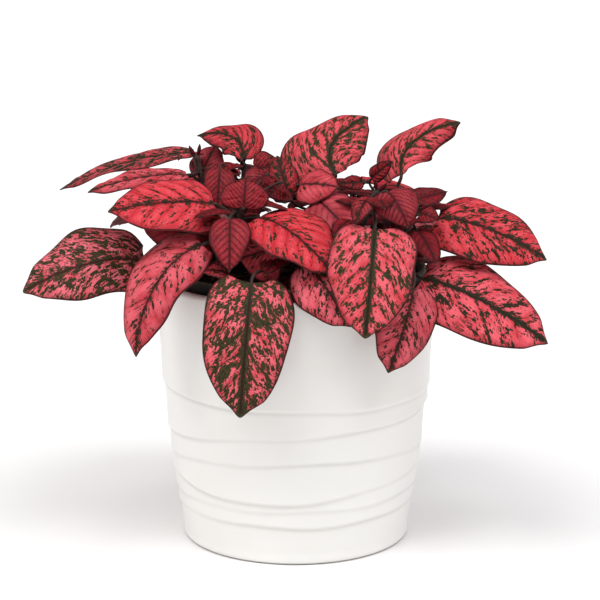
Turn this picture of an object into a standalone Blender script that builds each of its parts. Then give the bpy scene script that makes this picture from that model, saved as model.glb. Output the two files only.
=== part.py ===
"""Polka dot plant in a black nursery pot, standing in a white glazed cover pot.

+Z is up, X runs to the right and Y to the back. The origin is the middle of the
cover pot's flat base. Numbers in this file are millimetres and are turned into
metres where a mesh is made. Neighbouring pieces keep GAP between them.
"""

import collections
import math

import bmesh
import bpy
from mathutils import Vector

METRE = 0.001

# Driving dimensions
GAP = 0.3
ROUND_SIDES = 48
RIM_STEPS = 4

POT_HEIGHT = 130.0
POT_FOOT_RADIUS = 55.6
POT_RIM_RADIUS = 69.0
POT_WALL = 4.6
POT_FLOOR = 8.0
POT_FOOT_ROUNDING = 1.6

GROW_POT_LIP_TOP = POT_HEIGHT + 5.0
GROW_POT_LIP_RADIUS = 63.4
GROW_POT_LIP_DEPTH = 10.0
GROW_POT_WALL = 1.3
GROW_POT_FOOT_RADIUS = 44.0
DRAIN_HOLES = 6
DRAIN_HOLE_RADIUS = 4.0
DRAIN_RING_RADIUS = 30.0

SOIL_TOP = 122.0
SOIL_EDGE_DROP = 2.5

STEM_FOOT_RADIUS = 2.2
STEM_TOP_RADIUS = 1.3
STEM_SIDES = 8
STEM_STEPS = 7
LEAF_STALK_RADIUS = 0.8
LEAF_THICKNESS = 1.0

# Soft bands pressed round the cover pot: height at the front, how far the band
# leans from left to right, its swell and its width.
POT_BANDS = (
    (76.0, -3.0, 0.9, 4.0),
    (60.0, 4.0, 0.7, 4.0),
    (46.0, 2.0, 0.7, 4.0),
    (28.5, 1.0, 0.8, 3.5),
    (21.0, 1.0, 0.6, 3.0),
    (12.5, 1.5, 0.7, 3.0),
)
BANDS_END = 120.0
# Heights at which the outer wall is shaped, close together across the bands.
WALL_HEIGHTS = (5, 9, 12.5, 16, 21, 25, 29, 36, 41, 46, 53, 60, 67, 71, 76, 82, 96, 112, 126)

# Shoots: where each leaves the soil, and its growing tip.
SHOOTS = {
    "front": ((2, -30), (-6, -46, 152)),
    "front_left": ((-18, -20), (-27, -40, 170)),
    "front_right": ((20, -24), (38, -42, 178)),
    "left": ((-36, -2), (-48, 2, 188)),
    "right": ((42, -12), (58, -20, 167)),
    "crown_left": ((-14, 6), (-26, 6, 184)),
    "crown": ((6, -4), (16, 4, 176)),
    "crown_right": ((28, 6), (46, 2, 168)),
    "back_left": ((-22, 30), (-32, 46, 168)),
    "back_right": ((20, 32), (30, 48, 166)),
}

# Outline of a blade at each age: fullness near its base, fullness of its taper
# to the tip, and how far the base lobes reach back as a share of the width.
LEAF_FORMS = {
    "old": {"base": 0.32, "taper": 0.82, "lobes": 0.12},
    "grown": {"base": 0.40, "taper": 0.88, "lobes": 0.08},
    "young": {"base": 0.50, "taper": 0.95, "lobes": 0.04},
}
MARGIN_DROOP = 0.38
BLADE_SHARES = (0.03, 0.12, 0.30, 0.52, 0.74, 0.91)
LOBE_END_SHARE = 0.5
LEAF_TIP_HALF_WIDTH = 0.4

Leaf = collections.namedtuple("Leaf", "shoot joint base tip width face arch sweep rise age")

# Leaves of each shoot: height of the joint as a share of the shoot, blade base,
# blade tip, width, direction the upper face looks to, arch of the midrib out of
# the blade and its sweep to the right as shares of the length, rise of the
# halves beside the midrib, age.
LEAVES = {
    "front": {
        "front_low": (0.7, (6, -58, 147), (25, -80, 122), 30, (0, -3, 1), 0.12, 0, 0.2, "grown"),
        "front_large": (0.6, (-20, -68, 140), (-25, -88, 82), 41, (0, -3, 1), 0.14, 0, 0.25, "old"),
        "rim_curly": (0.5, (-30, -54, 140), (-43, -60, 143), 10, (0, -1, 2), 0.2, 0, 0.4, "young"),
        "rim_shade": (0.86, (-10, -50, 152), (-26, -50, 147), 16, (0, -2, 1), 0.1, 0, 0.2, "grown"),
    },
    "front_left": {
        "left_low": (0.62, (-43, -50, 154), (-73, -68, 105), 37, (-2, -3, 1), 0.2, 0.1, 0.2, "grown"),
        "left_mid": (0.84, (-38, -34, 170), (-86, -50, 169), 36, (0, -3, 4), 0.1, 0, 0.25, "grown"),
        "left_shade": (0.5, (-39, -20, 150), (-74, -14, 157), 28, (0, -2, 3), 0.1, 0, 0.2, "grown"),
        "young_lower": (0.96, (-30, -51, 166), (-30, -65, 144), 19, (0, -2, 1), 0.12, 0, 0.4, "young"),
        "young_upper": (0.98, (-24, -44, 170), (-23, -37, 183), 19, (0, -3, 1), 0.1, 0, 0.4, "young"),
        "centre": (0.86, (-17, -42, 165), (17, -70, 144), 32, (1, -2, 2), 0.16, 0, 0.2, "grown"),
        "bud_front": (0.9, (-14, -15, 181), (-24, -21, 174), 11, (0, -2, 1), 0.1, 0, 0.3, "young"),
        "bud_low": (0.93, (-7, -24, 178), (-13, -28, 172), 9, (0, -2, 1), 0.1, 0, 0.3, "young"),
    },
    "front_right": {
        "centre_plain": (0.7, (10, -26, 171), (26, -46, 158), 24, (0, -2, 1), 0.1, 0, 0.1, "grown"),
        "front_centre": (0.82, (36, -60, 163), (31, -86, 118), 40, (0, -3, 1), 0.14, 0, 0.25, "old"),
        "cup_left": (0.96, (34, -51, 176), (27, -62, 165), 12, (-1, -2, 2), 0.2, 0, 0.3, "young"),
        "cup_right": (0.97, (42, -47, 178), (51, -58, 163), 20, (1, -3, 2), 0.2, 0, 0.3, "young"),
    },
    "left": {
        "left_far": (0.42, (-72, -14, 139), (-129, -30, 127), 45, (0, -3, 3), 0.22, 0, 0.25, "old"),
        "left_high": (0.97, (-51, 6, 188), (-115, 8, 170), 28, (0, -1, 7), 0.08, 0, 0.4, "grown"),
        "left_high_under": (0.86, (-52, -10, 180), (-98, -24, 174), 26, (0, -1, 4), 0.08, 0, 0.3, "grown"),
        "left_behind": (0.7, (-60, 14, 164), (-92, 20, 149), 26, (0, 1, 3), 0.12, 0, 0.3, "grown"),
    },
    "right": {
        "front_right": (0.4, (54, -60, 136), (42, -74, 99), 30, (1, -3, 1), 0.12, 0, 0.2, "grown"),
        "right_low": (0.55, (59, -40, 136), (117, -54, 108), 44, (1, -3, 3), 0.12, 0, 0.25, "grown"),
        "right_high": (0.96, (67, -20, 161), (118, -32, 143), 39, (0, -3, 4), 0.15, 0, 0.2, "grown"),
        "small_right_upper": (0.98, (56, -26, 171), (72, -16, 173), 10, (0, -2, 2), 0, 0, 0.4, "young"),
        "small_right_lower": (0.9, (58, -28, 164), (67, -33, 162), 11, (0, -2, 2), 0.2, 0, 0.4, "young"),
        "right_shade_upper": (0.8, (57, -32, 157), (65, -46, 144), 15, (1, -2, 1), 0.1, 0, 0.3, "grown"),
        "right_shade_lower": (0.66, (54, -30, 152), (60, -40, 146), 13, (0, -2, 1), 0.1, 0, 0.3, "grown"),
    },
    "crown_left": {
        "crown_wing": (0.97, (-26, 1, 186), (-48, 12, 196), 24, (0, -2, 4), 0.05, 0.5, 0.1, "grown"),
        "crown_dark": (0.9, (-20, -4, 182), (-6, -3, 183), 12, (0, -2, 1), 0.1, 0, 0.3, "young"),
        "crown_side": (0.76, (-36, -14, 184), (-37, -24, 165), 11, (0, -2, 1), 0.1, 0, 0.3, "young"),
        "crown_pink": (0.8, (-46, 14, 176), (-39, 20, 190), 20, (-1, -2, 2), 0.1, 0, 0.3, "grown"),
    },
    "crown": {
        "crown_large": (0.97, (19, -2, 179), (36, 24, 201), 42, (0, -2, 8), 0.15, -0.3, 0.12, "old"),
        "crown_plain": (0.75, (2, -20, 177), (20, -28, 177), 18, (0, -1, 1), 0.1, 0, 0.1, "grown"),
        "bow_left": (0.9, (32, -14, 177), (20, -20, 177), 9, (0, -2, 1), 0.1, 0, 0.3, "young"),
        "crown_speckled": (0.62, (-4, -19, 173), (-9, -9, 189), 15, (0, -2, 1), 0.1, 0, 0.2, "grown"),
        "back_inner": (0.75, (12, 20, 166), (-6, 52, 156), 34, (0, 0, 1), 0.12, 0, 0.3, "grown"),
    },
    "crown_right": {
        "crown_right": (0.97, (51, 4, 178), (80, 14, 202), 36, (0, -2, 7), 0, -0.45, 0, "old"),
        "bow_right": (0.9, (36, -9, 178), (46, -12, 187), 10, (0, -2, 1), 0.1, 0, 0.3, "young"),
    },
    "back_left": {
        "back_far_left": (0.6, (-50, 42, 158), (-92, 66, 142), 36, (0, 0, 1), 0.14, 0, 0.25, "old"),
        "back_left": (0.5, (-40, 66, 150), (-58, 108, 112), 42, (0, 2, 2), 0.16, 0, 0.25, "old"),
        "back_left_high": (0.95, (-38, 50, 170), (-64, 88, 156), 34, (-1, 1, 4), 0.14, 0, 0.3, "grown"),
        "back_left_young": (0.97, (-26, 46, 170), (-8, 40, 172), 18, (0, 1, 4), 0.12, 0, 0.4, "young"),
    },
    "back_right": {
        "back_centre_low": (0.45, (4, 68, 145), (0, 100, 96), 44, (0, 3, 1), 0.14, 0, 0.25, "old"),
        "back_centre_high": (0.9, (20, 56, 166), (2, 98, 146), 36, (0, 1, 2), 0.14, 0, 0.3, "grown"),
        "back_right": (0.6, (44, 64, 148), (66, 104, 112), 42, (1, 2, 2), 0.14, 0, 0.25, "old"),
        "back_far_right": (0.7, (56, 38, 148), (100, 46, 131), 36, (0, 0, 1), 0.12, 0, 0.25, "old"),
        "back_right_high": (0.96, (36, 52, 167), (62, 84, 152), 34, (1, 1, 4), 0.12, 0, 0.3, "grown"),
    },
}


def clear_scene():
    for thing in list(bpy.data.objects):
        bpy.data.objects.remove(thing, do_unlink=True)


def material(name, colour, roughness, metallic=0.0):
    made = bpy.data.materials.new(name)
    made.use_nodes = True
    shader = made.node_tree.nodes["Principled BSDF"]
    shader.inputs["Base Color"].default_value = (*colour, 1.0)
    shader.inputs["Roughness"].default_value = roughness
    shader.inputs["Metallic"].default_value = metallic
    made.diffuse_color = (*colour, 1.0)
    return made


def add_object(name, bm, surface, sharp_angle=40.0):
    """Turn a bmesh in millimetres into a smooth shaded object in metres."""
    bmesh.ops.recalc_face_normals(bm, faces=bm.faces)
    bmesh.ops.scale(bm, vec=(METRE, METRE, METRE), verts=bm.verts)
    mesh = bpy.data.meshes.new(name)
    bm.to_mesh(mesh)
    bm.free()
    mesh.shade_smooth()
    mesh.set_sharp_from_angle(angle=math.radians(sharp_angle))
    mesh.materials.append(surface)
    made = bpy.data.objects.new(name, mesh)
    bpy.context.scene.collection.objects.link(made)
    return made


# Turned pieces


def spin_profile(profile):
    """Turn (radius, height) points, which start and end on the axis, round Z."""
    bm = bmesh.new()
    points = [bm.verts.new((radius, 0.0, height)) for radius, height in profile]
    edges = [bm.edges.new(pair) for pair in zip(points, points[1:])]
    bmesh.ops.spin(
        bm,
        geom=points + edges,
        cent=(0, 0, 0),
        axis=(0, 0, 1),
        angle=math.tau,
        steps=ROUND_SIDES,
        use_merge=True,
    )
    bmesh.ops.remove_doubles(bm, verts=bm.verts, dist=0.001)
    return bm


def pot_outer_radius(height):
    """The wall leans out quickly near the foot and then stands up straighter."""
    share = height / POT_HEIGHT
    lean = 1.45 * share - 0.45 * share * share
    return POT_FOOT_RADIUS + (POT_RIM_RADIUS - POT_FOOT_RADIUS) * lean


def band_swell(height, turn):
    """How far the bands push the pot's wall out at a height and a turn round Z.

    turn is 0 at the right, so its sine is -1 at the front.
    """
    swell = 0.0
    for middle, lean, push, width in POT_BANDS:
        local = middle + lean * math.cos(turn)
        swell += push * math.exp(-(((height - local) / width) ** 2))
    return swell


def build_pot(glaze):
    inner_rim = POT_RIM_RADIUS - POT_WALL
    inner_foot = POT_FOOT_RADIUS - POT_WALL
    foot_edge = POT_FOOT_RADIUS - POT_FOOT_ROUNDING
    profile = [(0.0, 0.0), (foot_edge, 0.0), (POT_FOOT_RADIUS, POT_FOOT_ROUNDING)]
    profile += [(pot_outer_radius(height), height) for height in WALL_HEIGHTS]
    lip = POT_WALL / 2
    for step in range(RIM_STEPS + 1):
        turn = math.pi * step / RIM_STEPS
        out = POT_RIM_RADIUS - lip + lip * math.cos(turn)
        profile.append((out, POT_HEIGHT - lip + lip * math.sin(turn)))
    profile += [(inner_rim - 0.6, 112.0), (inner_foot + 1.5, POT_FLOOR + 6.0), (inner_foot - 4.0, POT_FLOOR)]
    profile.append((0.0, POT_FLOOR))

    bm = spin_profile(profile)
    for vert in bm.verts:
        radius = math.hypot(vert.co.x, vert.co.y)
        outside = radius > pot_outer_radius(vert.co.z) - 1.0
        if outside and POT_FOOT_ROUNDING < vert.co.z < BANDS_END:
            grown = 1.0 + band_swell(vert.co.z, math.atan2(vert.co.y, vert.co.x)) / radius
            vert.co.x *= grown
            vert.co.y *= grown
    return add_object("pot", bm, glaze)


def grow_pot_inner_radius(height):
    foot_height = POT_FLOOR + GAP
    share = (height - foot_height) / (GROW_POT_LIP_TOP - foot_height)
    outer = GROW_POT_FOOT_RADIUS + (GROW_POT_LIP_RADIUS - 2.4 - GROW_POT_FOOT_RADIUS) * share
    return outer - GROW_POT_WALL


def build_nursery_pot(plastic):
    foot = POT_FLOOR + GAP
    collar = GROW_POT_LIP_TOP - GROW_POT_LIP_DEPTH
    below_collar = grow_pot_inner_radius(collar) + GROW_POT_WALL
    profile = [
        (0.0, foot),
        (GROW_POT_FOOT_RADIUS, foot),
        (below_collar, collar),
        (GROW_POT_LIP_RADIUS - 0.5, collar),
        (GROW_POT_LIP_RADIUS, GROW_POT_LIP_TOP - 1.0),
        (GROW_POT_LIP_RADIUS - 0.9, GROW_POT_LIP_TOP),
        (GROW_POT_LIP_RADIUS - 2.2, GROW_POT_LIP_TOP - 0.4),
        (grow_pot_inner_radius(GROW_POT_LIP_TOP - 3.0), GROW_POT_LIP_TOP - 3.0),
        (grow_pot_inner_radius(foot + GROW_POT_WALL), foot + GROW_POT_WALL),
        (0.0, foot + GROW_POT_WALL),
    ]
    pot = add_object("nursery_pot", spin_profile(profile), plastic)

    bm = bmesh.new()
    for hole in range(DRAIN_HOLES):
        turn = math.tau * hole / DRAIN_HOLES
        made = bmesh.ops.create_cone(
            bm,
            cap_ends=True,
            segments=12,
            radius1=DRAIN_HOLE_RADIUS,
            radius2=DRAIN_HOLE_RADIUS,
            depth=10.0,
        )
        place = (DRAIN_RING_RADIUS * math.cos(turn), DRAIN_RING_RADIUS * math.sin(turn), foot)
        bmesh.ops.translate(bm, vec=place, verts=made["verts"])
    cutter = add_object("drain_hole_cutter", bm, plastic)
    cutter.hide_render = True
    cutter.display_type = "WIRE"
    cut = pot.modifiers.new("drain_holes", "BOOLEAN")
    cut.object = cutter
    cut.operation = "DIFFERENCE"
    return pot


def build_soil(earth):
    floor = POT_FLOOR + GAP + GROW_POT_WALL + GAP
    edge = SOIL_TOP - SOIL_EDGE_DROP
    top_radius = grow_pot_inner_radius(edge) - GAP
    profile = [
        (0.0, floor),
        (grow_pot_inner_radius(floor) - GAP, floor),
        (top_radius, edge),
        (top_radius - 6.0, SOIL_TOP),
        (0.0, SOIL_TOP),
    ]
    return add_object("soil", spin_profile(profile), earth)


# Shoots and leaves


def bezier(points, share):
    """Point and direction on a cubic curve."""
    first, second, third, last = points
    rest = 1.0 - share
    place = (
        first * rest**3
        + second * (3 * rest * rest * share)
        + third * (3 * rest * share * share)
        + last * share**3
    )
    along = (
        (second - first) * (rest * rest)
        + (third - second) * (2 * rest * share)
        + (last - third) * (share * share)
    )
    return place, along.normalized()


def shoot_curve(name):
    (foot_x, foot_y), tip = SHOOTS[name]
    foot = Vector((foot_x, foot_y, SOIL_TOP + GAP))
    tip = Vector(tip)
    rise = tip.z - foot.z
    lean = (tip - foot).normalized()
    return foot, foot + Vector((0, 0, 0.4 * rise)), tip - lean * (0.35 * rise), tip


def shoot_radius(share):
    return STEM_FOOT_RADIUS + (STEM_TOP_RADIUS - STEM_FOOT_RADIUS) * share


def loft(rings):
    """Join rings of equal length into one closed skin with flat ends."""
    bm = bmesh.new()
    rows = [[bm.verts.new(point) for point in ring] for ring in rings]
    count = len(rows[0])
    for lower, upper in zip(rows, rows[1:]):
        for side in range(count):
            after = (side + 1) % count
            bm.faces.new((lower[side], lower[after], upper[after], upper[side]))
    bm.faces.new(list(reversed(rows[0])))
    bm.faces.new(rows[-1])
    return bm


def build_shoot(name, bark):
    curve = shoot_curve(name)
    rings = []
    for step in range(STEM_STEPS + 1):
        share = step / STEM_STEPS
        centre, along = bezier(curve, share)
        if step == 0:
            along = Vector((0, 0, 1))
        across = along.cross(Vector((0, 1, 0))).normalized()
        other = along.cross(across)
        radius = shoot_radius(share)
        ring = []
        for side in range(STEM_SIDES):
            turn = math.tau * side / STEM_SIDES
            ring.append(centre + (across * math.cos(turn) + other * math.sin(turn)) * radius)
        rings.append(ring)
    return add_object(f"shoot_{name}", loft(rings), bark)


def blade_half_width(share, width, form):
    """Half the width of an egg-shaped blade, at a share of its length."""
    widest = form["base"] / (form["base"] + form["taper"])
    rounding = (share / widest) ** form["base"]
    tapering = ((1 - share) / (1 - widest)) ** form["taper"]
    return 0.5 * width * rounding * tapering


def leaf_ring(centre, along, side, half_width, thickness, rise=0.0, droop=0.0, lobe=0.0):
    """Eight points round a leaf: margins, and upper and lower face between them."""
    up = side.cross(along).normalized()

    def surface(across, offset):
        crease = half_width * (rise * abs(across) - droop * across * across)
        back = lobe * across * across
        return centre + side * (half_width * across) + up * (crease + offset) - along * back

    top = thickness / 2
    middle = top * 0.87
    return [
        surface(-1.0, 0.0),
        surface(-0.5, middle),
        surface(0.0, top),
        surface(0.5, middle),
        surface(1.0, 0.0),
        surface(0.5, -middle),
        surface(0.0, -top),
        surface(-0.5, -middle),
    ]


def leaf_midrib(leaf):
    """Curve of the midrib, and the direction that the blade's upper face looks to."""
    base = Vector(leaf.base)
    tip = Vector(leaf.tip)
    chord = tip - base
    face = Vector(leaf.face)
    face -= chord * (face.dot(chord) / chord.dot(chord))
    face.normalize()
    right = chord.cross(face).normalized()
    bow = (face * leaf.arch + right * leaf.sweep) * chord.length
    return (base, base + chord * 0.25 + bow * 1.1, base + chord * 0.70 + bow * 0.9, tip), face


def leaf_stalk(leaf, midrib):
    """Curve of the stalk from its shoot to the blade, and the way it leaves the shoot."""
    joint, shoot_along = bezier(shoot_curve(leaf.shoot), leaf.joint)
    blade_base = midrib[0]
    outward = blade_base - joint
    outward -= shoot_along * outward.dot(shoot_along)
    outward.normalize()
    foot = joint + outward * (shoot_radius(leaf.joint) + GAP)
    reach = (blade_base - foot).length / 3
    leaving = outward * 0.8 + shoot_along * 0.6
    arriving = bezier(midrib, 0.0)[1]
    return (foot, foot + leaving * reach, blade_base - arriving * reach, blade_base), outward


def stalk_ring(centre, along, face):
    side = along.cross(face).normalized()
    return leaf_ring(centre, along, side, LEAF_STALK_RADIUS, 2 * LEAF_STALK_RADIUS)


def blade_ring(leaf, midrib, face, share):
    form = LEAF_FORMS[leaf.age]
    centre, along = bezier(midrib, share)
    side = along.cross(face).normalized()
    half_width = blade_half_width(share, leaf.width, form)
    lobe = form["lobes"] * leaf.width * max(0.0, 1.0 - share / LOBE_END_SHARE)
    return leaf_ring(
        centre, along, side, half_width, LEAF_THICKNESS, leaf.rise, MARGIN_DROOP, lobe
    )


def build_leaf(name, leaf, surface):
    midrib, face = leaf_midrib(leaf)
    stalk, outward = leaf_stalk(leaf, midrib)

    rings = [stalk_ring(stalk[0], outward, face)]
    rings.append(stalk_ring(*bezier(stalk, 0.5), face))
    rings.append(stalk_ring(*bezier(midrib, 0.0), face))
    for share in BLADE_SHARES:
        rings.append(blade_ring(leaf, midrib, face, share))
    tip, along = bezier(midrib, 1.0)
    side = along.cross(face).normalized()
    rings.append(leaf_ring(tip, along, side, LEAF_TIP_HALF_WIDTH, LEAF_TIP_HALF_WIDTH))
    return add_object(f"leaf_{name}", loft(rings), surface, sharp_angle=60.0)


def main():
    clear_scene()
    glaze = material("white_glaze", (0.86, 0.86, 0.84), 0.30)
    plastic = material("black_plastic", (0.02, 0.02, 0.02), 0.45)
    earth = material("potting_mix", (0.05, 0.03, 0.02), 0.95)
    bark = material("stem_skin", (0.10, 0.09, 0.06), 0.55)
    leaf_skins = {
        "old": material("leaf_spotted", (0.55, 0.12, 0.14), 0.45),
        "grown": material("leaf_pink", (0.80, 0.12, 0.17), 0.45),
        "young": material("leaf_crimson", (0.50, 0.03, 0.07), 0.40),
    }
    build_pot(glaze)
    build_nursery_pot(plastic)
    build_soil(earth)
    for name in SHOOTS:
        build_shoot(name, bark)
    for shoot, leaves in LEAVES.items():
        for name, row in leaves.items():
            leaf = Leaf(shoot, *row)
            build_leaf(name, leaf, leaf_skins[leaf.age])


main()
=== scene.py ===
"""Looks of the potted polka dot plant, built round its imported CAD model.

Lengths are millimetres until a mesh is made, and +Z is up. The shoot and leaf
tables repeat the plant's own dimensions, so every blade grows where its CAD
solid is, and is then shaped and veined in much finer detail.
"""

import math
from collections import defaultdict, namedtuple

import bpy
import numpy as np
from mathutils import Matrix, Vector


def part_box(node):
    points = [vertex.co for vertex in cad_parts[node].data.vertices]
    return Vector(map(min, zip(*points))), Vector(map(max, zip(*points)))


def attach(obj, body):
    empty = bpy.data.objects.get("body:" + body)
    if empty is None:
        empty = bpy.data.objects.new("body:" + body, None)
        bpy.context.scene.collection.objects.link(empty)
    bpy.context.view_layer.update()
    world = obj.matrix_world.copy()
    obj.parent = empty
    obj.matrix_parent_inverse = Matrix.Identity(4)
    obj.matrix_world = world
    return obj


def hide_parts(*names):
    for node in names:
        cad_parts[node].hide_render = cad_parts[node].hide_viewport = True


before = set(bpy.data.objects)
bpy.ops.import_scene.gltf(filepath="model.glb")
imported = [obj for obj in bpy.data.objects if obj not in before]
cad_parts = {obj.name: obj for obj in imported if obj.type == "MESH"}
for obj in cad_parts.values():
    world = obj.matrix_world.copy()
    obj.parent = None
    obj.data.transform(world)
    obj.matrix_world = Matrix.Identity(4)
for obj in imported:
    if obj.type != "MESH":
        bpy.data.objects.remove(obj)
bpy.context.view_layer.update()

MILLIMETRE = 0.001
BODY = "root"

# --- The plant's dimensions ---

POT_HEIGHT = 130.0
POT_FOOT_RADIUS = 55.6
POT_RIM_RADIUS = 69.0
POT_WALL = 4.6
POT_FLOOR = 8.0
POT_FOOT_ROUNDING = 1.6

SOIL_TOP = 122.0
SOIL_RADIUS = 58.3
SOIL_DEPTH = 14.0
SOIL_EDGE = 9.0
SOIL_SINK = 2.4
CRUMBS = 1500
PERLITE_SHARE = 0.035

SHOOT_GAP = 0.3
FOOT_SINK = 1.5
STEM_FOOT_RADIUS = 2.2
STEM_TOP_RADIUS = 1.3
JOINT_SWELL = 0.55
JOINT_SPAN = 0.022
BUD_LENGTH = 6.0
LEAF_STALK_RADIUS = 0.8
MARGIN_THICKNESS = 0.14
MIDDLE_THICKNESS = 0.40
THICK_FROM_WIDTH = 24.0
FIT_SLACK = 2.0

# Soft bands pressed round the cover pot: height of the lower edge at the front, left
# and right, how far it juts out, and over what height the wall above draws back in.
POT_BANDS = (
    (77.0, 80.0, 77.5, 1.3, 14.0),
    (65.0, 56.0, 68.0, 1.2, 9.0),
    (52.5, 44.0, 47.5, 0.9, 8.0),
    (31.5, 35.5, 40.0, 1.2, 7.0),
    (27.0, 27.5, 30.0, 0.8, 5.0),
    (20.0, 18.5, 21.0, 1.1, 6.0),
)

# How far the wall between the bands is set back, where an edge starts below its line
# and ends above it, and how far under the edge the painted shade of its crease lies
# and how wide it is.
BAND_SETBACK = 0.6
BAND_EDGE = (-1.3, 0.7)
CREASE_SHADE_DROP = 1.2
CREASE_SHADE_WIDTH = 1.1

# Rows of the cover pot's wall: close where the bands are, then wider up to the rim.
# The bands fade out towards the foot and above their highest one.
POT_SIDES = 256
BANDED_TOP = 90.0
BANDED_ROWS = 170
PLAIN_TOP = 124.0
PLAIN_ROWS = 22
BANDS_FULL_FROM = 6.0
BANDS_FULL_TO = 100.0

# Shoots: where each leaves the soil, and its growing tip.
SHOOTS = {
    "front": ((2, -30), (-6, -46, 152)),
    "front_left": ((-18, -20), (-27, -40, 170)),
    "front_right": ((20, -24), (38, -42, 178)),
    "left": ((-36, -2), (-48, 2, 188)),
    "right": ((42, -12), (58, -20, 167)),
    "crown_left": ((-14, 6), (-26, 6, 184)),
    "crown": ((6, -4), (16, 4, 176)),
    "crown_right": ((28, 6), (46, 2, 168)),
    "back_left": ((-22, 30), (-32, 46, 168)),
    "back_right": ((20, 32), (30, 48, 166)),
}

OLD, GROWN, YOUNG = "old", "grown", "young"

# Outline of a blade at each age: fullness near its base, fullness of its taper
# to the tip, and how far the base lobes reach back as a share of the width.
Form = namedtuple("Form", "base taper lobes")
LEAF_FORMS = {
    OLD: Form(0.34, 0.63, 0.14),
    GROWN: Form(0.38, 0.72, 0.10),
    YOUNG: Form(0.46, 0.88, 0.06),
}
MARGIN_DROOP = 0.38
VEIN_SLANT = 0.72
VEIN_CURVE = 0.30

# On a midrib that sweeps to one side, how far the halves keep to the straight line
# from base to tip.
STEADY_PER_SWEEP = 1.7
STEADY_MOST = 0.8

Leaf = namedtuple("Leaf", "shoot joint base tip width face arch rise age sweep")

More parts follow.
